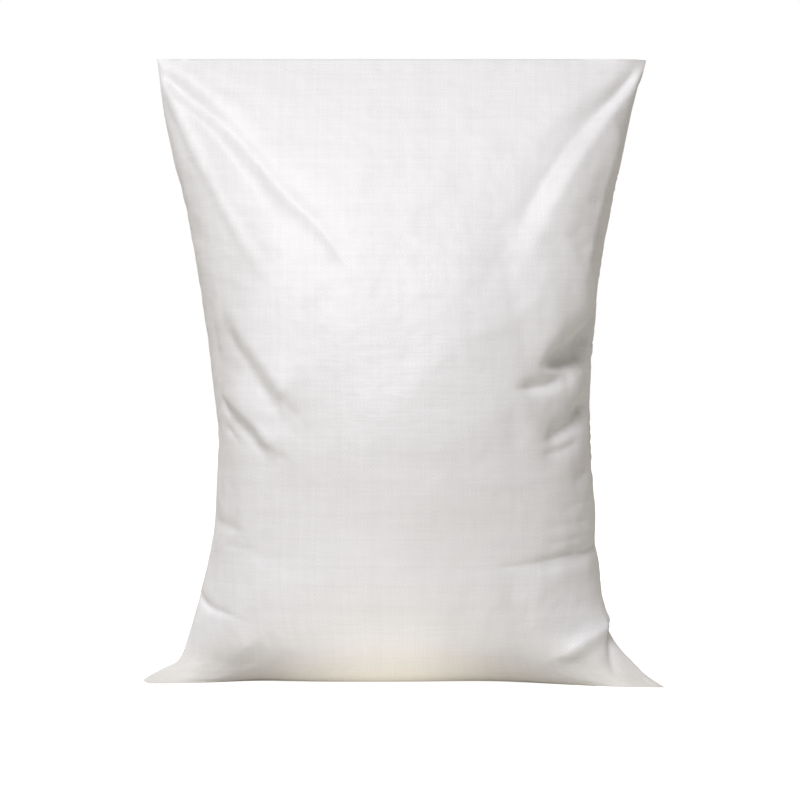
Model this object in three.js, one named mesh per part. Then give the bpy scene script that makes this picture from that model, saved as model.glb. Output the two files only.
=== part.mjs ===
// A fifty-kilogram sack of sugar, standing on its base.
// The sack is a flat tube of woven plastic tape, shut along a straight seam at the top and another at the
// bottom. It can't be seen into, so it is one closed solid. X runs across, -Y is the front and Z is up.
import * as THREE from "three";

// Driving sizes, in millimetres
const flatWidth = 600; // width of the empty tube, and so the length of both seams
const height = 742; // from the floor to the top seam
const bellyDepth = 302; // front to back at the fullest height
const bellyHeight = 270; // height of the fullest section, above which the body flattens to the top seam
const flattening = 1.65; // how late the flattening comes, as a power of the height above the belly
const flatFacet = 0.9; // share of the width that stays flat right under the top seam
const lean = { setBack: 40, lateness: 1.2 }; // the body leans back towards the top seam
const seamThickness = 4; // both layers of cloth, pressed together at the top seam

// Underside: the cloth rolls under the filling, and the back panel lies flat on the floor
const frontRoll = { height: 130, inset: 58 };
const backRoll = { height: 90, inset: 40 };
// The bottom seam lies in front of the middle, and the side creases swing forward to its ends
const creaseSwing = { height: 150, forward: 90, haste: 1.3 };
// Near the floor each section draws out into a thin point at both ends, towards the ears
const earPinch = { height: 110, sharpness: 3, haste: 5, baseFlat: 0.35 };
const ellipse = 0.5; // the power that rounds a section off like an ellipse

// Half widths of the outline from the front, as [height, reach] from the middle.
// The reach is greatest at both seams, and the bottom corners stick out as flat ears.
const leftOutline = [
  [0, 292],
  [3, 300],
  [17, 276],
  [24, 261],
  [62, 247],
  [128, 233],
  [270, 220],
  [376, 231],
  [520, 255],
  [666, 286],
  [height, flatWidth / 2],
];
const rightOutline = [
  [0, 300],
  [18, 277],
  [50, 249],
  [68, 240],
  [128, 236],
  [304, 225],
  [376, 228],
  [520, 245],
  [666, 277],
  [height, flatWidth / 2],
];

// Folds: [x, height] of both ends as seen from the front, half width on the cloth at both ends, and depth,
// which is negative for a valley. Above 1, steep makes the side on the right of the run that much sharper.
const foldFade = 0.6; // share of its run after which a fold dies away
const creaseHold = 2; // points next to the side crease over which folds die away
const lowestFold = 1; // folded cloth stays this far off the floor, outside the flat base
const frontFolds = [
  // fans that run down from the top corners to the middle of the face
  { from: [-290, 722], to: [-66, 480], width: [14, 24], depth: -12, steep: 1.2 },
  { from: [-284, 690], to: [-164, 513], width: [14, 20], depth: 7, steep: 1 },
  { from: [-268, 640], to: [-193, 500], width: [14, 18], depth: -6, steep: 1 },
  { from: [284, 724], to: [67, 485], width: [14, 34], depth: -14, steep: 1 },
  { from: [284, 696], to: [136, 485], width: [14, 22], depth: 8, steep: 1 },
  { from: [262, 630], to: [160, 400], width: [16, 30], depth: -9, steep: 1 },
  // slack cloth gathered on the left, at the waist
  { from: [-216, 430], to: [-116, 325], width: [17, 17], depth: -12, steep: 1.2 },
  { from: [-212, 396], to: [-135, 318], width: [15, 15], depth: 7, steep: 1 },
  { from: [-210, 345], to: [-137, 264], width: [16, 16], depth: -10, steep: 1.2 },
  { from: [-210, 312], to: [-150, 252], width: [15, 15], depth: 6, steep: 1 },
  // the deeper gather on the right, at the waist
  { from: [222, 408], to: [146, 372], width: [22, 17], depth: -13, steep: 1 },
  { from: [218, 376], to: [150, 362], width: [15, 14], depth: 7, steep: 1 },
  { from: [206, 344], to: [124, 340], width: [16, 15], depth: -10, steep: 1 },
  { from: [214, 306], to: [150, 262], width: [16, 16], depth: -8, steep: 1.2 },
  { from: [220, 256], to: [176, 232], width: [15, 15], depth: -7, steep: 1 },
  // shallow level creases low on both sides, and the roots of the ears
  { from: [-216, 196], to: [-150, 170], width: [15, 15], depth: -5, steep: 1 },
  { from: [-232, 98], to: [-184, 74], width: [12, 12], depth: -8, steep: 1.3 },
  { from: [224, 158], to: [112, 138], width: [14, 14], depth: -7, steep: 1.2 },
  { from: [232, 80], to: [160, 44], width: [14, 16], depth: 6, steep: 1 },
  { from: [238, 70], to: [228, 12], width: [12, 12], depth: -9, steep: 1 },
];
const backFolds = [
  { from: [-288, 720], to: [-90, 470], width: [14, 30], depth: -12, steep: 1 },
  { from: [-278, 676], to: [-150, 470], width: [14, 22], depth: 7, steep: 1 },
  { from: [288, 720], to: [70, 500], width: [14, 28], depth: -12, steep: 1 },
  { from: [276, 668], to: [180, 490], width: [14, 20], depth: 7, steep: 1 },
  { from: [-222, 400], to: [-130, 330], width: [18, 16], depth: -11, steep: 1.2 },
  { from: [-214, 350], to: [-150, 300], width: [15, 15], depth: 7, steep: 1 },
  { from: [-216, 290], to: [-140, 250], width: [15, 15], depth: -8, steep: 1.2 },
  { from: [216, 430], to: [120, 350], width: [18, 16], depth: -12, steep: 1.2 },
  { from: [214, 336], to: [140, 286], width: [16, 16], depth: -9, steep: 1.2 },
  { from: [-228, 190], to: [-130, 165], width: [14, 16], depth: -6, steep: 1 },
  { from: [224, 150], to: [140, 120], width: [14, 16], depth: -7, steep: 1.2 },
];

// Fineness of the surface
const columns = 96; // points round a section, a multiple of four
const rows = 58; // sections from the floor to the top seam
const rowGathering = 1.3; // above 1, the sections crowd together near the floor
const traceSteps = 48; // points that trace a quarter of a section before it is divided evenly

// A smooth curve through [height, size] pairs, as a function of height
function smoothThrough(pairs) {
  const last = pairs.length - 1;
  const slopes = pairs.map((_, i) => {
    const [h0, s0] = pairs[Math.max(i - 1, 0)];
    const [h1, s1] = pairs[Math.min(i + 1, last)];
    return (s1 - s0) / (h1 - h0);
  });
  return (h) => {
    const above = pairs.findIndex(([level]) => level > h);
    const i = (above < 0 ? last : above) - 1;
    const [h0, s0] = pairs[i];
    const [h1, s1] = pairs[i + 1];
    const span = h1 - h0;
    const t = (h - h0) / span;
    const rise = t * t * (3 - 2 * t);
    const slopeIn = t * (1 - t) * (1 - t) * span * slopes[i];
    const slopeOut = t * t * (t - 1) * span * slopes[i + 1];
    return s0 + (s1 - s0) * rise + slopeIn + slopeOut;
  };
}

const leftReach = smoothThrough(leftOutline);
const rightReach = smoothThrough(rightOutline);

// How far the body has opened from the flat seam, 0, to its fullest section, 1
function fullness(z) {
  const rise = Math.max(z - bellyHeight, 0) / (height - bellyHeight);
  return 1 - rise ** flattening;
}

// How far the cloth has rolled in under the filling at a height
function rollInset(roll, z) {
  const below = THREE.MathUtils.clamp(1 - z / roll.height, 0, 1);
  return roll.inset * (1 - Math.sqrt(1 - below * below));
}

// The level section at a height: where its front, its back and its two side creases are
function sectionSizes(z) {
  const opened = fullness(z);
  const halfDepth = Math.max((bellyDepth / 2) * opened, seamThickness / 2);
  const rise = Math.max(z - bellyHeight, 0) / (height - bellyHeight);
  const middle = lean.setBack * rise ** lean.lateness;
  const swing = Math.max(1 - z / creaseSwing.height, 0);
  const pinch = Math.max(1 - z / earPinch.height, 0);
  return {
    creaseY: middle - creaseSwing.forward * swing ** creaseSwing.haste,
    frontY: middle - halfDepth + rollInset(frontRoll, z),
    backY: middle + halfDepth - rollInset(backRoll, z),
    flatShare: flatFacet * (1 - opened) + earPinch.baseFlat * pinch ** 2,
    power: ellipse + earPinch.sharpness * pinch ** earPinch.haste,
  };
}

// A polyline divided into equal lengths
function divideEvenly(points, count) {
  const lengths = [0];
  points.slice(1).forEach((p, i) => lengths.push(lengths[i] + p.distanceTo(points[i])));
  const total = lengths[lengths.length - 1];
  return Array.from({ length: count + 1 }, (_, k) => {
    const target = (total * k) / count;
    const reached = lengths.findIndex((length) => length >= target);
    const i = reached < 0 ? lengths.length - 1 : Math.max(reached, 1);
    const share = (target - lengths[i - 1]) / (lengths[i] - lengths[i - 1]);
    return points[i - 1].clone().lerp(points[i], share);
  });
}

// A quarter of a section, from the side crease to the middle of the front or the back
function quarter(reach, creaseY, faceY, sizes, z) {
  const trace = Array.from({ length: traceSteps * 2 + 1 }, (_, k) => {
    const turning = Math.min(k / traceSteps, 1) * (Math.PI / 2);
    const crossing = Math.max(k / traceSteps - 1, 0);
    const across = Math.cos(turning);
    const share = sizes.flatShare * (1 - crossing) + (1 - sizes.flatShare) * across;
    const bulge = (1 - across * across) ** sizes.power;
    return new THREE.Vector3(reach * share, creaseY + (faceY - creaseY) * bulge, z);
  });
  return divideEvenly(trace, columns / 4);
}

// A whole section, anticlockwise from above: right crease, back, left crease, front
function section(z) {
  const sizes = sectionSizes(z);
  const { creaseY, frontY, backY } = sizes;
  const rightBack = quarter(rightReach(z), creaseY, backY, sizes, z);
  const leftBack = quarter(-leftReach(z), creaseY, backY, sizes, z);
  const leftFront = quarter(-leftReach(z), creaseY, frontY, sizes, z);
  const rightFront = quarter(rightReach(z), creaseY, frontY, sizes, z);
  return [
    ...rightBack.slice(0, -1),
    ...leftBack.reverse().slice(0, -1),
    ...leftFront.slice(0, -1),
    ...rightFront.reverse().slice(0, -1),
  ];
}

// How far over the cloth a point of a face lies from the middle of that face
function clothAcross(x, z, face) {
  const sizes = sectionSizes(z);
  const reach = x < 0 ? -leftReach(z) : rightReach(z);
  const points = quarter(reach, sizes.creaseY, sizes[face], sizes, z);
  const step = points[0].distanceTo(points[1]);
  const inside = points.findIndex((point) => Math.abs(point.x) <= Math.abs(x));
  const k = inside < 0 ? points.length - 1 : Math.max(inside, 1);
  const share = (points[k - 1].x - x) / (points[k - 1].x - points[k].x);
  const steps = points.length - 1 - (k - 1 + THREE.MathUtils.clamp(share, 0, 1));
  return Math.sign(x) * steps * step;
}

// A fold with its ends placed on the cloth of its face
function onCloth(fold, face) {
  const place = ([x, z]) => new THREE.Vector2(clothAcross(x, z, face), z);
  return { ...fold, start: place(fold.from), end: place(fold.to) };
}

// How far one fold lifts or sinks the cloth at a point of its face
function foldDepth(fold, spot) {
  const run = fold.start.distanceTo(fold.end);
  const way = fold.end.clone().sub(fold.start).divideScalar(run);
  const offset = spot.clone().sub(fold.start);
  const along = offset.dot(way) / run;
  const beside = offset.x * way.y - offset.y * way.x;
  const within = THREE.MathUtils.clamp(along, 0, 1);
  const width = THREE.MathUtils.lerp(fold.width[0], fold.width[1], within);
  const off = (beside * (beside > 0 ? fold.steep : 1)) / width;
  const past = ((along - within) * run) / width;
  const fadeOut = 1 - THREE.MathUtils.smoothstep(within, foldFade, 1);
  return fold.depth * fadeOut * Math.exp(-off * off - past * past);
}

// All the sections, with the folds pressed into the front and the back along the cloth's normal
function foldedCloth() {
  const folds = {
    front: frontFolds.map((fold) => onCloth(fold, "frontY")),
    back: backFolds.map((fold) => onCloth(fold, "backY")),
  };
  const cloth = Array.from({ length: rows + 1 }, (_, j) => section(height * (j / rows) ** rowGathering));
  const half = columns / 2;
  return cloth.map((ring, j) => {
    if (j === 0 || j === rows) return ring;
    return ring.map((point, i) => {
      const next = ring[(i + 1) % columns];
      const around = next.clone().sub(ring[(i + columns - 1) % columns]);
      const up = cloth[j + 1][i].clone().sub(cloth[j - 1][i]);
      const outward = around.cross(up).normalize();
      const fromCrease = Math.min(i % half, half - (i % half));
      const hold = THREE.MathUtils.smoothstep(fromCrease, 0, creaseHold);
      const face = i > half ? "front" : "back";
      const fromMiddle = (half / 2 - fromCrease) * point.distanceTo(next);
      const spot = new THREE.Vector2(Math.sign(point.x) * fromMiddle, point.z);
      const lift = folds[face].reduce((sum, fold) => sum + foldDepth(fold, spot), 0);
      const moved = point.clone().addScaledVector(outward, lift * hold);
      moved.z = Math.max(moved.z, lowestFold);
      return moved;
    });
  });
}

// The closed surface: the cloth, its flat base and the narrow top seam
function sackGeometry() {
  const cloth = foldedCloth();
  const positions = cloth.flat().flatMap((point) => point.toArray());
  const index = [];
  const at = (j, i) => j * columns + (i % columns);
  // Each patch is split the way that the folds run, from the outside down towards the middle of its face
  for (let j = 0; j < rows; j++) {
    for (let i = 0; i < columns; i++) {
      const [a, b, c, d] = [at(j, i), at(j, i + 1), at(j + 1, i + 1), at(j + 1, i)];
      const towardsMiddle = Math.floor(i / (columns / 4)) % 2 === 0;
      index.push(...(towardsMiddle ? [a, b, d, b, c, d] : [a, b, c, a, c, d]));
    }
  }
  // The base and the top are strips between the back half of a ring and its front half
  for (let i = 0; i < columns / 2; i++) {
    const front = columns - i;
    index.push(at(0, i), at(0, front - 1), at(0, i + 1));
    index.push(at(rows, i), at(rows, i + 1), at(rows, front - 1));
    if (i > 0) {
      index.push(at(0, i), at(0, front), at(0, front - 1));
      index.push(at(rows, i), at(rows, front - 1), at(rows, front));
    }
  }
  const geometry = new THREE.BufferGeometry();
  geometry.setAttribute("position", new THREE.Float32BufferAttribute(positions, 3));
  geometry.setIndex(index);
  geometry.computeVertexNormals();
  return geometry;
}

const wovenCloth = new THREE.MeshStandardMaterial({ color: 0xefeeec, roughness: 0.55, metalness: 0 });

const sack = new THREE.Mesh(sackGeometry(), wovenCloth);
sack.name = "sack";

const filledSack = new THREE.Group();
filledSack.add(sack);

export default filledSack;
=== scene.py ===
import math

import bpy
import numpy as np
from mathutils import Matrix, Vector, noise


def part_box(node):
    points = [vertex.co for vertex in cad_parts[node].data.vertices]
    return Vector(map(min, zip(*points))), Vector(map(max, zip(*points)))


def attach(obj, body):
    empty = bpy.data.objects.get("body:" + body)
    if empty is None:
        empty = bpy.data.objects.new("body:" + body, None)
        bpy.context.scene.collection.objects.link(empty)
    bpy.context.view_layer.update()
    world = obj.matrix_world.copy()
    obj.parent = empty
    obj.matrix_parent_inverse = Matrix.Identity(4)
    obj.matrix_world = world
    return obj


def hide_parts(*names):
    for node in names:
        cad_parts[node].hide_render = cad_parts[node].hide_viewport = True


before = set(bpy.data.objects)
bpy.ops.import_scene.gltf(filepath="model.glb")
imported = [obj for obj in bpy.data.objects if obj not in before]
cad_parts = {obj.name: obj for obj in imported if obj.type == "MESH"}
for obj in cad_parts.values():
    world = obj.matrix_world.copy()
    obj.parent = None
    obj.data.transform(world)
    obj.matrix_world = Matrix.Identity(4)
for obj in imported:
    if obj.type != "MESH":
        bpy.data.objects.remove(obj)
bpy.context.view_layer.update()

sack_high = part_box("sack")[1]

# The sack's cloth: one flat tube of white woven plastic tape, shut by a seam at the top and another at the
# bottom. A flat sheet of it is rolled into the tube, filled out to level sections of the same girth, and
# then folded where the slack cloth gathers. Sizes are in metres. An outline gives (height, reach) pairs.
tube_width = 0.600
height = sack_high[2]
belly_depth = 0.302
belly_height = 0.270
flattening = 1.65
flat_facet = 0.9
lean = {"set_back": 0.040, "lateness": 1.2}
seam_thickness = 0.0016
front_roll = {"height": 0.120, "inset": 0.078}
back_roll = {"height": 0.090, "inset": 0.040}
crease_swing = {"height": 0.150, "forward": 0.090, "haste": 1.3}
ear_pinch = {"height": 0.110, "sharpness": 3, "haste": 5, "base_flat": 0.35}
ellipse = 0.5
left_outline = [
    (0, 0.295), (0.003, 0.304), (0.017, 0.279), (0.024, 0.262), (0.062, 0.247), (0.128, 0.232),
    (0.270, 0.2190), (0.376, 0.2325), (0.520, 0.2550), (0.666, 0.2885), (height, tube_width / 2),
]
right_outline = [
    (0, 0.303), (0.018, 0.277), (0.050, 0.244), (0.068, 0.239), (0.128, 0.2358),
    (0.304, 0.2272), (0.376, 0.2312), (0.520, 0.2475), (0.666, 0.2800), (height, tube_width / 2),
]
cloth_columns = 176
cloth_rows = 128
row_gathering = 1.15
trace_steps = 60
floor_clearance = 0.001
same_place = 1e-5
not_zero = 1e-12


def smooth_through(pairs):
    """A smooth curve through (height, size) pairs, as a function of height."""
    levels = np.array([pair[0] for pair in pairs])
    values = np.array([pair[1] for pair in pairs])
    before = np.maximum(np.arange(len(pairs)) - 1, 0)
    after = np.minimum(np.arange(len(pairs)) + 1, len(pairs) - 1)
    slopes = (values[after] - values[before]) / (levels[after] - levels[before])

    def value_at(h):
        i = int(np.clip(np.searchsorted(levels, h, side="right") - 1, 0, len(levels) - 2))
        span = levels[i + 1] - levels[i]
        t = (h - levels[i]) / span
        rise = t * t * (3 - 2 * t)
        slope_in = t * (1 - t) ** 2 * span * slopes[i]
        slope_out = t * t * (t - 1) * span * slopes[i + 1]
        return values[i] + (values[i + 1] - values[i]) * rise + slope_in + slope_out

    return value_at


left_reach = smooth_through(left_outline)
right_reach = smooth_through(right_outline)


def roll_inset(roll, z):
    """How far the cloth is rolled in under the sack at a height."""
    below = min(max(1 - z / roll["height"], 0), 1)
    return roll["inset"] * (1 - math.sqrt(1 - below * below))


def section_sizes(z):
    """Where the front, the back and the side creases of the level section at a height are."""
    rise = max(z - belly_height, 0) / (height - belly_height)
    opened = 1 - rise ** flattening
    half_depth = max(belly_depth / 2 * opened, seam_thickness / 2)
    middle = lean["set_back"] * rise ** lean["lateness"]
    swing = max(1 - z / crease_swing["height"], 0)
    pinch = max(1 - z / ear_pinch["height"], 0)
    return {
        "crease": middle - crease_swing["forward"] * swing ** crease_swing["haste"],
        "front": middle - half_depth + roll_inset(front_roll, z),
        "back": middle + half_depth - roll_inset(back_roll, z),
        "flat": flat_facet * (1 - opened) + ear_pinch["base_flat"] * pinch ** 2,
        "power": ellipse + ear_pinch["sharpness"] * pinch ** ear_pinch["haste"],
    }


def quarter(reach, face, z, count):
    """A quarter of a section in equal lengths, from the side crease to the middle of its front or back."""
    sizes = section_sizes(z)
    k = np.arange(trace_steps * 2 + 1) / trace_steps
    across = np.cos(np.minimum(k, 1) * math.pi / 2)
    share = sizes["flat"] * (1 - np.maximum(k - 1, 0)) + (1 - sizes["flat"]) * across
    bulge = np.maximum(1 - across * across, 0) ** sizes["power"]
    x = reach * share
    y = sizes["crease"] + (sizes[face] - sizes["crease"]) * bulge
    lengths = np.concatenate([[0], np.cumsum(np.hypot(np.diff(x), np.diff(y)))])
    even = np.linspace(0, lengths[-1], count + 1)
    points = np.stack([np.interp(even, lengths, x), np.interp(even, lengths, y)], axis=1)
    return points, lengths[-1] - even


def section(z):
    """A whole section from the right crease by the back, left and front to the right crease again."""
    count = cloth_columns // 4
    parts = [
        (right_reach(z), "back", 1), (-left_reach(z), "back", -1),
        (-left_reach(z), "front", 1), (right_reach(z), "front", -1),
    ]
    points, across = [], []
    for reach, face, way in parts:
        spots, from_middle = quarter(reach, face, z, count)
        signed = np.sign(reach) * from_middle
        points.append(spots[::way][:-1])
        across.append(signed[::way][:-1])
    points.append(points[0][:1])
    across.append(across[0][:1])
    return np.concatenate(points), np.concatenate(across)


bpy.ops.object.select_all(action="DESELECT")
bpy.ops.mesh.primitive_grid_add(
    x_subdivisions=cloth_columns, y_subdivisions=cloth_rows, size=1, location=(0, 0, 0)
)
cloth = bpy.context.object
cloth.name = "sack_cloth"
cloth.data.name = "sack_cloth"

levels = height * (np.arange(cloth_rows + 1) / cloth_rows) ** row_gathering
sections = [section(z) for z in levels]
body = np.zeros((cloth_rows + 1, cloth_columns + 1, 3))
across_cloth = np.zeros((cloth_rows + 1, cloth_columns + 1))
for j, (z, (points, across)) in enumerate(zip(levels, sections)):
    body[j, :, :2] = points
    body[j, :, 2] = z
    across_cloth[j] = across
half = cloth_columns // 2
column = np.arange(cloth_columns + 1)
from_crease = np.minimum(column % half, half - column % half)
on_front = np.tile(column > half, (cloth_rows + 1, 1))
level_of = body[:, :, 2].copy()

# Folds that the slack cloth makes: (x, height) of both ends as seen from outside the face, half widths at
# both ends, depth, spread and bow. A negative depth is a valley. The spread widens the side that lies right
# of the fold's run, and the bow carries the middle of the run to that side.
front_folds = [
    ((-0.297, 0.730), (-0.076, 0.492), (0.010, 0.034), -0.0120, 0.6, -0.010),
    ((-0.066, 0.484), (-0.170, 0.612), (0.009, 0.010), -0.0034, 1.2, 0.006),
    ((-0.262, 0.738), (-0.120, 0.640), (0.006, 0.012), -0.0016, 1, 0),
    ((-0.292, 0.722), (-0.140, 0.440), (0.006, 0.016), 0.0066, 1, 0.009),
    ((-0.290, 0.716), (-0.140, 0.530), (0.004, 0.012), 0.0022, 1, -0.005),
    ((0.297, 0.734), (0.085, 0.430), (0.008, 0.054), -0.0175, 1.3, 0.021),
    ((0.297, 0.734), (0.122, 0.430), (0.004, 0.028), 0.0050, 1, 0.014),
    ((0.292, 0.700), (0.215, 0.420), (0.012, 0.026), -0.0050, 1, 0),
    ((0.262, 0.640), (0.206, 0.420), (0.010, 0.010), 0.0045, 1.5, 0),
    ((0.226, 0.444), (0.149, 0.362), (0.024, 0.012), 0.0095, 3.0, 0),
    ((-0.135, 0.337), (-0.216, 0.452), (0.011, 0.014), 0.0090, 3.6, 0),
    ((-0.143, 0.324), (-0.224, 0.440), (0.020, 0.028), -0.0060, 0.4, 0),
    ((-0.151, 0.277), (-0.213, 0.344), (0.010, 0.012), 0.0078, 3.2, 0.006),
    ((-0.159, 0.266), (-0.219, 0.332), (0.016, 0.020), -0.0050, 0.4, 0.006),
    ((-0.228, 0.436), (-0.214, 0.345), (0.014, 0.012), -0.0040, 1, 0),
    ((0.234, 0.372), (0.152, 0.366), (0.012, 0.004), -0.0150, 4.5, 0),
    ((0.236, 0.400), (0.152, 0.370), (0.032, 0.010), -0.0160, 1.6, 0),
    ((0.196, 0.350), (0.124, 0.338), (0.013, 0.010), -0.0105, 1.8, -0.002),
    ((0.228, 0.320), (0.194, 0.306), (0.009, 0.007), -0.0060, 1.2, 0),
    ((0.222, 0.306), (0.154, 0.270), (0.011, 0.010), -0.0125, 4.5, 0.004),
    ((0.208, 0.278), (0.154, 0.258), (0.010, 0.009), -0.0040, 1.3, 0),
    ((0.224, 0.252), (0.196, 0.226), (0.010, 0.009), -0.0050, 1, 0),
    ((-0.220, 0.189), (-0.168, 0.172), (0.012, 0.010), -0.0034, 1.2, 0),
    ((0.236, 0.155), (0.090, 0.132), (0.007, 0.006), -0.0055, 2.2, -0.003),
    ((0.246, 0.070), (0.150, 0.018), (0.011, 0.012), 0.0080, 2.0, 0),
    ((0.232, 0.058), (0.224, 0.008), (0.010, 0.014), 0.0055, 3.0, 0),
]
back_folds = [
    ((-0.297, 0.734), (-0.080, 0.460), (0.004, 0.034), -0.0070, 1.2, 0),
    ((-0.292, 0.722), (-0.150, 0.450), (0.005, 0.024), 0.0045, 1, 0),
    ((-0.288, 0.700), (-0.196, 0.430), (0.008, 0.022), -0.0070, 1, 0),
    ((0.297, 0.734), (0.060, 0.500), (0.004, 0.030), -0.0060, 1.2, 0),
    ((0.292, 0.722), (0.150, 0.470), (0.005, 0.024), 0.0045, 1, 0),
    ((0.288, 0.690), (0.200, 0.450), (0.008, 0.018), -0.0060, 1, 0),
    ((-0.226, 0.400), (-0.125, 0.322), (0.014, 0.012), -0.0085, 1.6, 0.008),
    ((-0.216, 0.340), (-0.140, 0.296), (0.012, 0.010), -0.0060, 1.5, 0),
    ((-0.218, 0.290), (-0.150, 0.250), (0.012, 0.010), -0.0050, 1.5, 0),
    ((0.226, 0.436), (0.118, 0.336), (0.015, 0.013), -0.0085, 1.6, -0.008),
    ((0.222, 0.336), (0.136, 0.280), (0.013, 0.012), -0.0070, 1.6, -0.006),
    ((-0.230, 0.190), (-0.130, 0.165), (0.010, 0.010), -0.0045, 1.3, 0),
    ((0.230, 0.150), (0.140, 0.124), (0.010, 0.010), -0.0045, 1.3, 0),
]
fold_fade = 0.55
fold_softness = 0.3
fold_spread = 1.6
crease_hold = 0.026
wander = {"size": 0.110, "by": 0.007, "seeds": (3.0, 12.0)}


def smoothstep(low, high, value):
    """An even rise from 0 at the low value to 1 at the high one."""
    t = np.clip((value - low) / (high - low), 0, 1)
    return t * t * (3 - 2 * t)


def cloth_noise(u, v, seed):
    """A smooth noise about 0 at each place on the cloth."""
    spots = zip(u.ravel(), v.ravel())
    return np.array([noise.noise(Vector((a, b, seed))) for a, b in spots]).reshape(u.shape)


def cloth_place(x, z, face):
    """How far across the cloth of a face a point seen at x lies, and its height."""
    reach = right_reach(z) if x > 0 else -left_reach(z)
    points, from_middle = quarter(reach, face, z, trace_steps)
    return np.array([np.sign(x) * np.interp(-abs(x), -np.abs(points[:, 0]), from_middle), z])


def fold_lift(fold, face, across, z, softness):
    """How far one fold of a face lifts each point of the cloth."""
    start, end, widths, depth, spread, bow = fold
    start, end = cloth_place(*start, face), cloth_place(*end, face)
    run = np.hypot(*(end - start))
    way = (end - start) / run
    along = ((across - start[0]) * way[0] + (z - start[1]) * way[1]) / run
    within = np.clip(along, 0, 1)
    beside = (across - start[0]) * way[1] - (z - start[1]) * way[0] - 4 * bow * within * (1 - within)
    width = (widths[0] + (widths[1] - widths[0]) * within) * np.where(beside > 0, spread, 1)
    off = np.hypot(beside / width, (along - within) * run / width)
    creased = np.exp(-fold_spread * (np.sqrt(off ** 2 + softness ** 2) - softness))
    return depth * (1 - smoothstep(fold_fade, 1, within)) * creased


def folded(folds_of_front, folds_of_back, across, z, front, from_side, softness):
    """How far all folds lift each point. They wander a little, and fade out at the side creases."""
    wide, seeds = wander["size"], wander["seeds"]
    turned = np.where(front, across, -across - tube_width)
    across = across + wander["by"] * cloth_noise(turned / wide, z / wide, seeds[0])
    z = z + wander["by"] * cloth_noise(turned / wide, z / wide, seeds[1])
    lift = np.zeros(across.shape)
    for fold in folds_of_front:
        lift += np.where(front, fold_lift(fold, "front", across, z, softness), 0)
    for fold in folds_of_back:
        lift += np.where(front, 0, fold_lift(fold, "back", across, z, softness))
    return lift * smoothstep(0, crease_hold, from_side)


def outward_normals(points):
    """Outward normals of the rolled cloth, whose first and last columns are the same line."""
    ring = points[:, :-1]
    around = np.roll(ring, -1, axis=1) - np.roll(ring, 1, axis=1)
    up = np.gradient(ring, axis=0)
    normals = np.cross(around, up)
    normals /= np.maximum(np.linalg.norm(normals, axis=2, keepdims=True), not_zero)
    return np.concatenate([normals, normals[:, :1]], axis=1)


side_gap = np.abs(across_cloth[:, :1]) * from_crease / (half / 2)
lift = folded(front_folds, back_folds, across_cloth, level_of, on_front, side_gap, fold_softness)
lift[0] = lift[-1] = 0
body += outward_normals(body) * lift[:, :, None]

# The right bottom corner reaches forward, the right side crease curls back near the top, and the foot of the
# front is drawn back in two waves: the x of each wave's middle, its half width and how far back it goes.
ear_reach = {"from": 0.10, "to": 0.28, "height": 0.070, "forward": 0.034}
corner_curl = {"back": 0.011, "within": 0.013, "from": 0.40, "to": 0.60}
foot_waves = [(-0.172, 0.050, 0.016), (0.085, 0.050, 0.007)]
foot_height = 0.045
ear = smoothstep(ear_reach["from"], ear_reach["to"], body[:, :, 0])
body[:, :, 1] -= ear_reach["forward"] * ear * (1 - smoothstep(0, ear_reach["height"], level_of))
curled = np.exp(-side_gap / corner_curl["within"])
curled = curled * smoothstep(corner_curl["from"], corner_curl["to"], level_of)
body[:, :, 1] += corner_curl["back"] * curled * (body[:, :, 0] > 0)
for middle, wide, back in foot_waves:
    wave = np.exp(-((body[:, :, 0] - middle) / wide) ** 2) * (1 - smoothstep(0, foot_height, level_of))
    body[:, :, 1] += back * wave * on_front
body[1:, :, 2] = np.maximum(body[1:, :, 2], floor_clearance)
body[0, :, 2] = 0

# The grid's vertices run along x first, so the rows of the cloth are its rows. The map named cloth gives
# each point's place on the flat tube in metres, and four attributes keep its place for the finer folds.
cloth.data.vertices.foreach_set("co", body.reshape(-1))
front_middle = cloth_columns * 3 // 4
front_up = np.linalg.norm(np.diff(body[:, front_middle], axis=0), axis=1)
along_cloth = np.concatenate([[0], np.cumsum(front_up)])
uv = cloth.data.uv_layers.active
uv.name = "cloth"
corner_uv = np.zeros(len(uv.data) * 2)
uv.data.foreach_get("uv", corner_uv)
corner_uv = corner_uv.reshape(-1, 2)
rows_of = np.rint(corner_uv[:, 1] * cloth_rows).astype(int)
corner_uv[:, 0] *= tube_width * 2
corner_uv[:, 1] = along_cloth[rows_of]
uv.data.foreach_set("uv", corner_uv.reshape(-1))
kept = {"across": across_cloth, "level": level_of, "front": on_front * 2.0 - 1, "side_gap": side_gap}
for name, values in kept.items():
    cloth.data.attributes.new(name, "FLOAT", "POINT").data.foreach_set("value", values.reshape(-1))

# The cloth as it was cut and sewn: a tube as long at its sides as in its middle. The filled sack is shorter
# along its side creases, so there the slack buckles into folds. The simulation gives the cloth this length,
# and the sack keeps a share of each move, the smaller one in its middle, where the cloth lies on the sugar.
slack = {"share": 0.35, "all": 0.004}
up_lengths = np.linalg.norm(np.diff(body, axis=0), axis=2)
cut_up = up_lengths + slack["share"] * np.maximum(front_up[:, None] - up_lengths, 0)
rest_up = np.concatenate([np.zeros((1, cloth_columns + 1)), np.cumsum(cut_up * (1 + slack["all"]), axis=0)])
rest_up -= rest_up[cloth_rows // 2][None, :]
girth = np.linalg.norm(np.diff(body, axis=1), axis=2).sum(axis=1)
turn = 2 * math.pi * column / cloth_columns
rest = np.zeros_like(body)
rest[:, :, 0] = girth[:, None] / (2 * math.pi) * np.cos(turn)
rest[:, :, 1] = girth[:, None] / (2 * math.pi) * np.sin(turn)
rest[:, :, 2] = rest_up
cloth.shape_key_add(name="filled")
rest_key = cloth.shape_key_add(name="cut")
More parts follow.
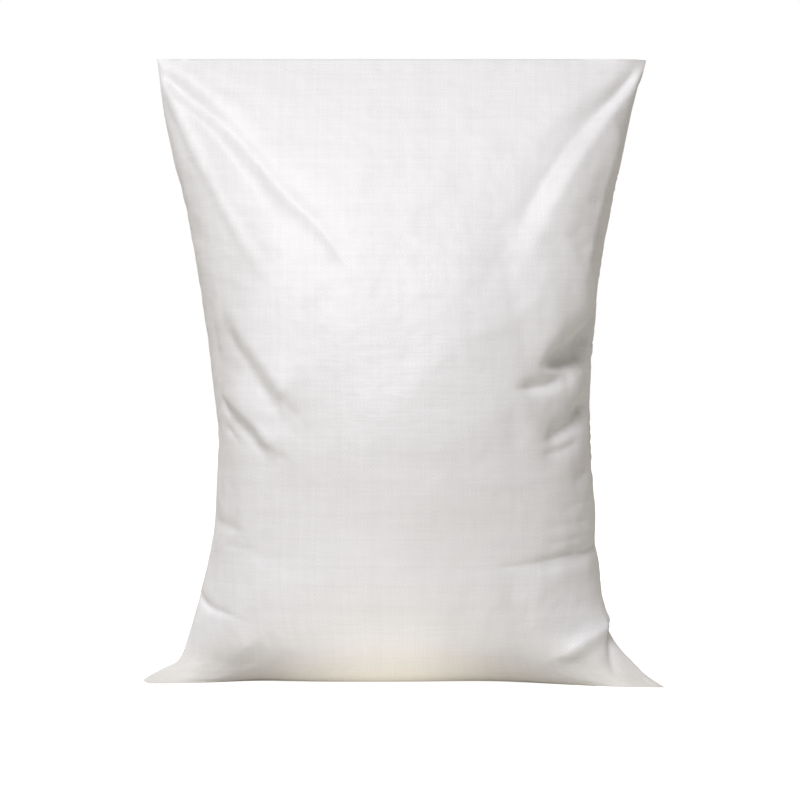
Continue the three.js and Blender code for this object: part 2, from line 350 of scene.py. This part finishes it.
rest_key.data.foreach_set("co", rest.reshape(-1))
held = cloth.vertex_groups.new(name="held")
last_row = cloth_rows * (cloth_columns + 1)
held.add(list(range(cloth_columns + 1)) + list(range(last_row, last_row + cloth_columns + 1)), 1, "REPLACE")

bpy.ops.object.mode_set(mode="EDIT")
bpy.ops.mesh.select_all(action="SELECT")
bpy.ops.mesh.remove_doubles(threshold=same_place)
bpy.ops.object.mode_set(mode="OBJECT")


def read_values(mesh, name):
    """The values of one of the mesh's point attributes."""
    values = np.zeros(len(mesh.vertices))
    mesh.attributes[name].data.foreach_get("value", values)
    return values


def read_places(vertices):
    """The places of a mesh's vertices or of a shape key's points."""
    places = np.zeros(len(vertices) * 3)
    vertices.foreach_get("co", places)
    return places.reshape(-1, 3)


most_moved = 0.022
last_frame = 24
moved_share = {"middle": 0.35, "sides": 0.7, "from": 0.10, "to": 0.22}
bpy.ops.object.modifier_add(type="CLOTH")
settings = cloth.modifiers[-1].settings
settings.quality = 6
settings.mass = 0.15
settings.tension_stiffness = 30
settings.compression_stiffness = 30
settings.shear_stiffness = 15
settings.bending_stiffness = 2.0
settings.tension_damping = settings.compression_damping = settings.shear_damping = 10
settings.bending_damping = 1.0
settings.air_damping = 6
settings.use_pressure = True
settings.uniform_pressure_force = 4
settings.rest_shape_key = rest_key
settings.vertex_group_mass = "held"
settings.effector_weights.gravity = 0
cloth.modifiers[-1].point_cache.frame_end = last_frame
for step in range(1, last_frame + 1):
    bpy.context.scene.frame_set(step)
evaluated = cloth.evaluated_get(bpy.context.evaluated_depsgraph_get())
before = read_places(cloth.data.shape_keys.key_blocks["filled"].data)
moved = read_places(evaluated.data.vertices) - before
far = np.linalg.norm(moved, axis=1, keepdims=True)
across = np.abs(read_values(cloth.data, "across"))
near_sides = smoothstep(moved_share["from"], moved_share["to"], across)
share = moved_share["middle"] + (moved_share["sides"] - moved_share["middle"]) * near_sides
settled = before + moved * np.minimum(1, most_moved / np.maximum(far, not_zero)) * share[:, None]
above = before[:, 2] > same_place
settled[:, 2] = np.where(above, np.maximum(settled[:, 2], floor_clearance), 0)
bpy.ops.object.modifier_remove(modifier=cloth.modifiers[-1].name)
cloth.shape_key_clear()
cloth.data.vertices.foreach_set("co", settled.reshape(-1))
cloth.data.update()
bpy.context.scene.frame_set(1)

bpy.ops.object.modifier_add(type="SUBSURF")
cloth.modifiers[-1].levels = cloth.modifiers[-1].render_levels = 1
bpy.ops.object.modifier_apply(modifier=cloth.modifiers[-1].name)

# Crisp creases and fine wrinkles, pressed into the finer mesh: the tips of the folds, the pockets at the
# bottom corners, and two layers of wrinkles, the finer one most of all at the sides.
crisp_folds = [
    ((-0.297, 0.732), (-0.225, 0.652), (0.003, 0.008), -0.0022, 1.3, 0),
    ((-0.126, 0.560), (-0.060, 0.478), (0.007, 0.005), -0.0018, 1.4, 0),
    ((0.296, 0.730), (0.240, 0.672), (0.003, 0.008), -0.0022, 1.3, 0),
    ((-0.135, 0.337), (-0.176, 0.396), (0.005, 0.006), 0.0014, 2.0, 0),
    ((-0.151, 0.277), (-0.190, 0.322), (0.005, 0.006), 0.0012, 2.0, 0.004),
    ((-0.210, 0.326), (-0.199, 0.306), (0.006, 0.006), -0.0028, 1, 0),
    ((-0.204, 0.294), (-0.186, 0.275), (0.006, 0.006), -0.0026, 1, 0),
    ((0.222, 0.368), (0.150, 0.365), (0.006, 0.004), -0.0022, 2.5, 0),
    ((0.221, 0.424), (0.156, 0.368), (0.006, 0.005), 0.0022, 1, 0),
    ((0.186, 0.350), (0.124, 0.338), (0.006, 0.005), -0.0020, 1.6, -0.002),
    ((0.214, 0.303), (0.155, 0.270), (0.005, 0.005), -0.0018, 1.3, 0.004),
    ((0.204, 0.277), (0.154, 0.258), (0.005, 0.005), -0.0015, 1.3, 0),
    ((0.226, 0.213), (0.176, 0.199), (0.005, 0.005), -0.0010, 1, 0),
    ((0.228, 0.190), (0.140, 0.176), (0.005, 0.005), -0.0010, 1, 0),
    ((0.229, 0.172), (0.130, 0.158), (0.005, 0.005), -0.0010, 1, 0),
    ((0.229, 0.151), (0.166, 0.147), (0.005, 0.005), -0.0020, 1.3, 0),
    ((0.196, 0.151), (0.088, 0.132), (0.005, 0.004), -0.0022, 1, 0),
    ((-0.216, 0.188), (-0.172, 0.173), (0.006, 0.006), -0.0010, 1, 0),
    ((-0.200, 0.160), (-0.145, 0.150), (0.006, 0.006), -0.0010, 1, 0),
    ((-0.240, 0.098), (-0.176, 0.071), (0.007, 0.005), -0.0048, 1.2, 0),
    ((0.241, 0.068), (0.229, 0.052), (0.005, 0.005), -0.0040, 1, 0),
    ((0.250, 0.038), (0.290, 0.003), (0.007, 0.004), 0.0020, 1, 0),
    ((0.244, 0.074), (0.150, 0.022), (0.006, 0.007), 0.0034, 1.8, 0),
    ((0.234, 0.064), (0.242, 0.006), (0.006, 0.008), -0.0034, 1, 0),
]
crisp_softness = 0.15
wrinkles = [
    {"across": 0.160, "up": 0.110, "height": 0.0016, "middle": 1.0, "sides": 1.0, "low": 0, "high": 0.66},
    {"across": 0.040, "up": 0.026, "height": 0.0005, "middle": 0.3, "sides": 1.0, "low": 0.03, "high": 0.60},
]
wrinkle_fade = {"low": 0.05, "high": 0.06}
wrinkle_sides = {"from": 0.10, "to": 0.20}
wrinkle_seed = 7.0
wrinkle_softness = 0.07
wrinkle_steepness = 3
seam_hold = 0.030
on_floor = 1e-6
sharp_angle = 60
cloth.data.update()
places = read_places(cloth.data.vertices)
across, level, front, side_gap = [read_values(cloth.data, name) for name in kept]
normals = np.zeros(len(places) * 3)
cloth.data.vertices.foreach_get("normal", normals)
normals = normals.reshape(-1, 3)
lift = folded(crisp_folds, [], across, level, front > 0, side_gap, crisp_softness)
near_sides = smoothstep(wrinkle_sides["from"], wrinkle_sides["to"], np.abs(across))
near_seams = smoothstep(0, seam_hold, level) * smoothstep(0, seam_hold, height - level)
for number, wrinkle in enumerate(wrinkles):
    stretched = np.stack([across * front / wrinkle["across"], level / wrinkle["up"]], axis=1)
    depth = wrinkle_seed * (number + 1)
    waves = cloth_noise(stretched[:, 0], stretched[:, 1], depth)
    band = smoothstep(wrinkle["low"], wrinkle["low"] + wrinkle_fade["low"], level)
    band *= 1 - smoothstep(wrinkle["high"] - wrinkle_fade["high"], wrinkle["high"], level)
    where = wrinkle["middle"] + (wrinkle["sides"] - wrinkle["middle"]) * near_sides
    ridges = 1 - wrinkle_steepness * np.hypot(waves, wrinkle_softness)
    lift += wrinkle["height"] * ridges * band * where * near_seams
places += normals * lift[:, None]
places[:, 2] = np.where(level > on_floor, np.maximum(places[:, 2], floor_clearance), 0)
cloth.data.vertices.foreach_set("co", places.reshape(-1))
for name in kept:
    cloth.data.attributes.remove(cloth.data.attributes[name])

bpy.ops.object.mode_set(mode="EDIT")
bpy.ops.mesh.select_mode(type="VERT")
bpy.ops.mesh.select_all(action="SELECT")
bpy.ops.mesh.fill_holes(sides=0)
bpy.ops.mesh.select_all(action="SELECT")
bpy.ops.mesh.normals_make_consistent(inside=False)
bpy.ops.object.mode_set(mode="OBJECT")
bpy.ops.object.shade_smooth_by_angle(angle=math.radians(sharp_angle))

# The two faces that close the tube take their places from above as their map.
for face in cloth.data.polygons:
    if len(face.vertices) > 4:
        for corner in face.loop_indices:
            place = cloth.data.vertices[cloth.data.loops[corner].vertex_index].co
            cloth.data.uv_layers["cloth"].data[corner].uv = (place.x, -place.y)

# The weave: flat tapes, over one and under one, read from the cloth's own map in metres. No two tapes have
# quite the same white, and each one's white changes along its run, and each tape is painted a little darker
# where it lies low in the weave, as painted shade. Dents and fine crinkles lie in the bump as well, and a
# painted reflection of the floor tints the foot warmer and darker.
tape = 0.0025
tape_tone = {"each": 0.036, "along": 0.036, "bands": 0.036, "painted_hollow_shade": 0.05}
weave_height = 0.00010
mottling = {"size": 0.045, "amount": 0.036}
dents = {"size": 0.030, "height": 0.0014}
level_crinkles = {
    "across": 0.060, "up": 0.011, "height": 0.0006, "x": 0.02, "z": 0.34, "wide": 0.16, "tall": 0.17,
}
tape_profile = {"edge": 0.4, "arch": 0.4, "base": 0.6}
tape_change = {"apart": 3.7, "along": 0.06}
band_change = {"apart": 0.17, "along": 0.012}
warp_seed = 11.3
weft_seed = 407.3
cloth_white = (0.872, 0.871, 0.866)
# The tint at the foot is a painted reflection of the floor, with painted shade: warmer and darker than the
# cloth's white.
painted_floor_reflection = {"height": 0.060, "tint": (0.765, 0.750, 0.705)}

woven_cloth = bpy.data.materials.new("woven_cloth")
woven_cloth.use_nodes = True
nodes = woven_cloth.node_tree.nodes
links = woven_cloth.node_tree.links
shader = nodes["Principled BSDF"]


def worked(operation, *values):
    """The result of a maths node over sockets or plain numbers."""
    node = nodes.new("ShaderNodeMath")
    node.operation = operation
    for socket, value in zip(node.inputs, values):
        if isinstance(value, bpy.types.NodeSocket):
            links.new(value, socket)
        else:
            socket.default_value = value
    return node.outputs[0]


def blended(first, second, share):
    """The first value where the share is 0, and the second where it is 1."""
    return worked("ADD", first, worked("MULTIPLY", worked("SUBTRACT", second, first), share))


def noise_at(x, y, detail):
    """A flat noise about 0.5, read at the place that two sockets give."""
    place = nodes.new("ShaderNodeCombineXYZ")
    links.new(x, place.inputs["X"])
    links.new(y, place.inputs["Y"])
    texture = nodes.new("ShaderNodeTexNoise")
    texture.noise_dimensions = "2D"
    texture.inputs["Scale"].default_value = 1
    texture.inputs["Detail"].default_value = detail
    links.new(place.outputs[0], texture.inputs["Vector"])
    return texture.outputs[0]


def tape_shape(beside, along):
    """The height of a tape that lies on top: flat across its width, and arched along its run."""
    square = worked("MULTIPLY", beside, beside)
    edge = worked("MULTIPLY", worked("MULTIPLY", square, square), -tape_profile["edge"])
    arch = worked("COSINE", worked("MULTIPLY", along, math.pi / 2))
    arch = worked("MULTIPLY", arch, tape_profile["arch"])
    return worked("ADD", worked("ADD", edge, arch), tape_profile["base"])


def tape_noise(number, along, change, detail, amount):
    """A change of white that runs from tape to tape and along them, about 0."""
    apart, run = worked("MULTIPLY", number, change["apart"]), worked("MULTIPLY", along, change["along"])
    return worked("MULTIPLY", worked("SUBTRACT", noise_at(apart, run, detail), 0.5), amount * 2)


def tape_white(number, along, seed):
    """How much lighter or darker than the rest a tape is, at a place along its run."""
    each = nodes.new("ShaderNodeTexWhiteNoise")
    each.noise_dimensions = "1D"
    links.new(worked("ADD", number, seed), each.inputs["W"])
    own = worked("MULTIPLY", worked("SUBTRACT", each.outputs["Value"], 0.5), tape_tone["each"])
    run = tape_noise(number, along, tape_change, 1, tape_tone["along"])
    broad = tape_noise(number, along, band_change, 2, tape_tone["bands"])
    return worked("ADD", worked("ADD", own, run), broad)


cloth_map = nodes.new("ShaderNodeUVMap")
cloth_map.uv_map = "cloth"
split = nodes.new("ShaderNodeSeparateXYZ")
links.new(cloth_map.outputs["UV"], split.inputs[0])


def scaled_noise(x_size, y_size, detail):
    """A noise about 0 over the cloth, with its coarsest waves of the given sizes."""
    across = worked("DIVIDE", split.outputs["X"], x_size)
    up = worked("DIVIDE", split.outputs["Y"], y_size)
    return worked("SUBTRACT", noise_at(across, up, detail), 0.5)


across_tapes = worked("DIVIDE", split.outputs["X"], tape)
up_tapes = worked("DIVIDE", split.outputs["Y"], tape)
warp_number = worked("FLOOR", across_tapes)
weft_number = worked("FLOOR", up_tapes)
in_warp = worked("SUBTRACT", worked("MULTIPLY", worked("FRACT", across_tapes), 2), 1)
in_weft = worked("SUBTRACT", worked("MULTIPLY", worked("FRACT", up_tapes), 2), 1)
weft_on_top = worked("FLOORED_MODULO", worked("ADD", warp_number, weft_number), 2)
tape_height = blended(tape_shape(in_warp, in_weft), tape_shape(in_weft, in_warp), weft_on_top)
warp_white = tape_white(warp_number, up_tapes, warp_seed)
weft_white = tape_white(weft_number, across_tapes, weft_seed)
# Painted shade in the weave's hollows: each tape's white is made darker where it lies lower, at its edges and
# where it dips under.
tone = worked("ADD", blended(warp_white, weft_white, weft_on_top), 1 - tape_tone["painted_hollow_shade"])
tone = worked("ADD", tone, worked("MULTIPLY", tape_height, tape_tone["painted_hollow_shade"]))

object_place = nodes.new("ShaderNodeTexCoord")
object_split = nodes.new("ShaderNodeSeparateXYZ")
links.new(object_place.outputs["Object"], object_split.inputs[0])
mottle = worked("MULTIPLY", scaled_noise(mottling["size"], mottling["size"], 2), mottling["amount"])
# Painted reflection of the floor and painted shade: the cloth's colour turns warmer and darker towards the
# foot.
painted_reflection_fade = nodes.new("ShaderNodeMapRange")
painted_reflection_fade.interpolation_type = "SMOOTHSTEP"
painted_reflection_fade.inputs["From Max"].default_value = painted_floor_reflection["height"]
painted_reflection_fade.inputs["To Min"].default_value = 1
painted_reflection_fade.inputs["To Max"].default_value = 0
links.new(object_split.outputs["Z"], painted_reflection_fade.inputs["Value"])
white = nodes.new("ShaderNodeMix")
white.data_type = "RGBA"
white.inputs["A"].default_value = (*cloth_white, 1)
white.inputs["B"].default_value = (*painted_floor_reflection["tint"], 1)
links.new(painted_reflection_fade.outputs["Result"], white.inputs["Factor"])
toned = nodes.new("ShaderNodeVectorMath")
toned.operation = "SCALE"
links.new(white.outputs["Result"], toned.inputs[0])
links.new(worked("ADD", tone, mottle), toned.inputs["Scale"])
links.new(toned.outputs[0], shader.inputs["Base Color"])

off_x = worked("SUBTRACT", object_split.outputs["X"], level_crinkles["x"])
off_x = worked("DIVIDE", off_x, level_crinkles["wide"])
off_z = worked("SUBTRACT", object_split.outputs["Z"], level_crinkles["z"])
off_z = worked("DIVIDE", off_z, level_crinkles["tall"])
off = worked("ADD", worked("MULTIPLY", off_x, off_x), worked("MULTIPLY", off_z, off_z))
crinkled = worked("MULTIPLY", worked("MAXIMUM", worked("SUBTRACT", 1, off), 0), -level_crinkles["height"])
crinkle = worked("ABSOLUTE", scaled_noise(level_crinkles["across"], level_crinkles["up"], 2))
dent = worked("MULTIPLY", scaled_noise(dents["size"], dents["size"], 1.5), dents["height"])
relief = worked("ADD", worked("MULTIPLY", tape_height, weave_height), dent)
relief = worked("ADD", relief, worked("MULTIPLY", crinkle, crinkled))
bump = nodes.new("ShaderNodeBump")
bump.inputs["Distance"].default_value = 1
links.new(relief, bump.inputs["Height"])
links.new(bump.outputs[0], shader.inputs["Normal"])
shader.inputs["Roughness"].default_value = 0.46
cloth.data.materials.clear()
cloth.data.materials.append(woven_cloth)
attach(cloth, "root")
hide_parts("sack")

# The stitches that shut the top: one line of white plastic thread, sewn through both layers of the cloth by a
# hand-held bag closer. Each stitch shows on both faces, pulled flush, and sinks into the cloth at its ends.
thread_radius = 0.0004
stitch_pitch = 0.0085
stitch_length = 0.0066
stitch_below_edge = 0.013
stitch_line_drop = 0.003
stitch_sink = 0.0006
stitch_rise = 0.00005
stitch_shape = [(-0.5, -stitch_sink), (-0.3, stitch_rise), (0.3, stitch_rise), (0.5, -stitch_sink)]
cloth_reach = 0.284
strand_scale = 1800
strand_height = 0.0002
thread_sharp_angle = 50


def stitch(x, way):
    """The places of one stitch on the face that a ray in the given way meets."""
    places = []
    for share, lift in stitch_shape:
        at = x + share * stitch_length
        z = height - stitch_below_edge - stitch_line_drop * (at / cloth_reach + 1) / 2
        spot = cloth.ray_cast((at, -way, z), (0, way, 0))[1]
        places.append((at, spot.y - way * lift, z))
    return places


sewing = bpy.data.curves.new("seam_stitches", "CURVE")
sewing.dimensions = "3D"
sewing.bevel_depth = thread_radius
sewing.bevel_resolution = 1
sewing.use_fill_caps = True
for x in np.arange(-cloth_reach + stitch_length, cloth_reach - stitch_length, stitch_pitch):
    for way in (1, -1):
        places = stitch(x, way)
        run = sewing.splines.new("POLY")
        run.points.add(len(places) - 1)
        for point, place in zip(run.points, places):
            point.co = (*place, 1)
stitches = bpy.data.objects.new("seam_stitches", sewing)
bpy.context.scene.collection.objects.link(stitches)
bpy.ops.object.select_all(action="DESELECT")
stitches.select_set(True)
bpy.context.view_layer.objects.active = stitches
bpy.ops.object.convert(target="MESH")
bpy.ops.object.shade_smooth_by_angle(angle=math.radians(thread_sharp_angle))
seam_thread = bpy.data.materials.new("seam_thread")
seam_thread.use_nodes = True
nodes = seam_thread.node_tree.nodes
links = seam_thread.node_tree.links
shader = nodes["Principled BSDF"]
thread_place = nodes.new("ShaderNodeTexCoord")
strands = nodes.new("ShaderNodeTexNoise")
strands.inputs["Scale"].default_value = strand_scale
strands.inputs["Detail"].default_value = 1
thread_bump = nodes.new("ShaderNodeBump")
thread_bump.inputs["Distance"].default_value = strand_height
links.new(thread_place.outputs["Object"], strands.inputs["Vector"])
links.new(strands.outputs[0], thread_bump.inputs["Height"])
links.new(thread_bump.outputs[0], shader.inputs["Normal"])
shader.inputs["Base Color"].default_value = (0.92, 0.915, 0.905, 1)
shader.inputs["Roughness"].default_value = 0.55
stitches.data.materials.append(seam_thread)
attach(stitches, "root")

# The stage: a wide floor with a painted glow that lights the sack from below, most of it in a painted pool of
# light before the sack's foot, a broad key light from the upper left of the front, a soft box above each
# side, and a warm white surround.
floor_size = 60
# The floor glows though it is no lamp. The glow is painted light: warm for the rays that light the sack, a
# little more on the right, and most in a pool before the foot. Camera rays see it evenly white.
floor_glow = {"left": 0.12, "right": 0.19, "edge": 0.5, "front": 0.66, "reach": 0.20, "seen": 0.9}
front_pool = (-0.02, -0.19, 0)
warm_glow = (1, 0.935, 0.83)
bpy.ops.object.select_all(action="DESELECT")
bpy.ops.mesh.primitive_plane_add(size=floor_size, location=(0, 0, 0))
floor = bpy.context.object
floor.name = "floor"
floor_paint = bpy.data.materials.new("floor_paint")
floor_paint.use_nodes = True
nodes = floor_paint.node_tree.nodes
links = floor_paint.node_tree.links
floor_shader = nodes["Principled BSDF"]
floor_shader.inputs["Base Color"].default_value = (0.5, 0.49, 0.47, 1)
floor_shader.inputs["Roughness"].default_value = 0.9
floor_shader.inputs["Specular IOR Level"].default_value = 0.1
place = nodes.new("ShaderNodeTexCoord")
split = nodes.new("ShaderNodeSeparateXYZ")
side_glow = nodes.new("ShaderNodeMapRange")
side_glow.interpolation_type = "SMOOTHSTEP"
side_glow.inputs["From Min"].default_value = -floor_glow["edge"]
side_glow.inputs["From Max"].default_value = floor_glow["edge"]
side_glow.inputs["To Min"].default_value = floor_glow["left"]
side_glow.inputs["To Max"].default_value = floor_glow["right"]
from_pool = nodes.new("ShaderNodeVectorMath")
from_pool.operation = "DISTANCE"
from_pool.inputs[1].default_value = front_pool
pool_glow = nodes.new("ShaderNodeMapRange")
pool_glow.interpolation_type = "SMOOTHSTEP"
pool_glow.inputs["From Max"].default_value = floor_glow["reach"]
pool_glow.inputs["To Min"].default_value = floor_glow["front"]
pool_glow.inputs["To Max"].default_value = 0
both = nodes.new("ShaderNodeMath")
both.operation = "ADD"
path = nodes.new("ShaderNodeLightPath")
seen_glow = nodes.new("ShaderNodeMix")
seen_glow.inputs["B"].default_value = floor_glow["seen"]
links.new(place.outputs["Object"], split.inputs[0])
links.new(split.outputs["X"], side_glow.inputs["Value"])
links.new(place.outputs["Object"], from_pool.inputs[0])
links.new(from_pool.outputs["Value"], pool_glow.inputs["Value"])
links.new(side_glow.outputs["Result"], both.inputs[0])
links.new(pool_glow.outputs["Result"], both.inputs[1])
links.new(path.outputs["Is Camera Ray"], seen_glow.inputs["Factor"])
links.new(both.outputs[0], seen_glow.inputs["A"])
glow_colour = nodes.new("ShaderNodeMix")
glow_colour.data_type = "RGBA"
glow_colour.inputs["A"].default_value = (*warm_glow, 1)
glow_colour.inputs["B"].default_value = (1, 1, 1, 1)
links.new(path.outputs["Is Camera Ray"], glow_colour.inputs["Factor"])
links.new(glow_colour.outputs["Result"], floor_shader.inputs["Emission Color"])
links.new(seen_glow.outputs["Result"], floor_shader.inputs["Emission Strength"])
floor.data.materials.append(floor_paint)

key_from = {"azimuth": 18, "elevation": 46, "spread": 35, "energy": 1.70}
bpy.ops.object.light_add(type="SUN", location=(-1.0, -2.0, 2.2))
key = bpy.context.object
key.name = "key_light"
key.data.energy = key_from["energy"]
key.data.angle = math.radians(key_from["spread"])
key.data.color = (0.985, 0.985, 1.05)
key.rotation_euler = (math.radians(90 - key_from["elevation"]), 0, math.radians(-key_from["azimuth"]))

soft_boxes = {
    "front_box": {"azimuth": 20, "elevation": 30, "distance": 1.1, "size": 0.7, "aim": 0.62, "energy": 3.4},
    "back_box": {"azimuth": 145, "elevation": 38, "distance": 1.7, "size": 0.7, "aim": 0.35, "energy": 11},
}
for name, box in soft_boxes.items():
    azimuth, elevation = math.radians(box["azimuth"]), math.radians(box["elevation"])
    out = box["distance"] * math.cos(elevation)
    up = box["distance"] * math.sin(elevation)
    bpy.ops.object.light_add(
        type="AREA",
        location=(-out * math.sin(azimuth), -out * math.cos(azimuth), box["aim"] + up),
        rotation=(math.pi / 2 - elevation, 0, -azimuth),
    )
    box_light = bpy.context.object
    box_light.name = name
    box_light.data.shape = "SQUARE"
    box_light.data.size = box["size"]
    box_light.data.energy = box["energy"]

surround_strength = {"front": 0.16, "back": 0.60}
world = bpy.data.worlds.new("surround")
bpy.context.scene.world = world
world.use_nodes = True
nodes = world.node_tree.nodes
links = world.node_tree.links
surround = nodes["Background"]
surround.inputs["Color"].default_value = (1, 0.92, 0.81, 1)
sky_place = nodes.new("ShaderNodeTexCoord")
sky_split = nodes.new("ShaderNodeSeparateXYZ")
sky_glow = nodes.new("ShaderNodeMapRange")
sky_glow.inputs["From Max"].default_value = 1
sky_glow.inputs["To Min"].default_value = surround_strength["front"]
sky_glow.inputs["To Max"].default_value = surround_strength["back"]
links.new(sky_place.outputs["Generated"], sky_split.inputs[0])
links.new(sky_split.outputs["Y"], sky_glow.inputs["Value"])
links.new(sky_glow.outputs["Result"], surround.inputs["Strength"])
backdrop = nodes.new("ShaderNodeBackground")
backdrop.inputs["Color"].default_value = (1, 1, 1, 1)
seen = nodes.new("ShaderNodeLightPath")
mix = nodes.new("ShaderNodeMixShader")
links.new(seen.outputs["Is Camera Ray"], mix.inputs[0])
links.new(surround.outputs[0], mix.inputs[1])
links.new(backdrop.outputs[0], mix.inputs[2])
links.new(mix.outputs[0], nodes["World Output"].inputs["Surface"])
bpy.context.scene.view_settings.view_transform = "Standard"

# The camera: level, straight in front, at about half the sack's height. The frame is as wide as the
# photograph's at the middle of the sack.
camera_distance = 2.66
camera_height = 0.328
camera_shift_left = 0.0024
frame_width = 0.9573
bpy.ops.object.camera_add(
    location=(-camera_shift_left, -camera_distance, camera_height), rotation=(math.radians(90), 0, 0)
)
camera = bpy.context.object
camera.name = "camera"
camera.data.lens = camera.data.sensor_width * camera_distance / frame_width
camera.data.clip_end = 200
bpy.context.scene.camera = camera
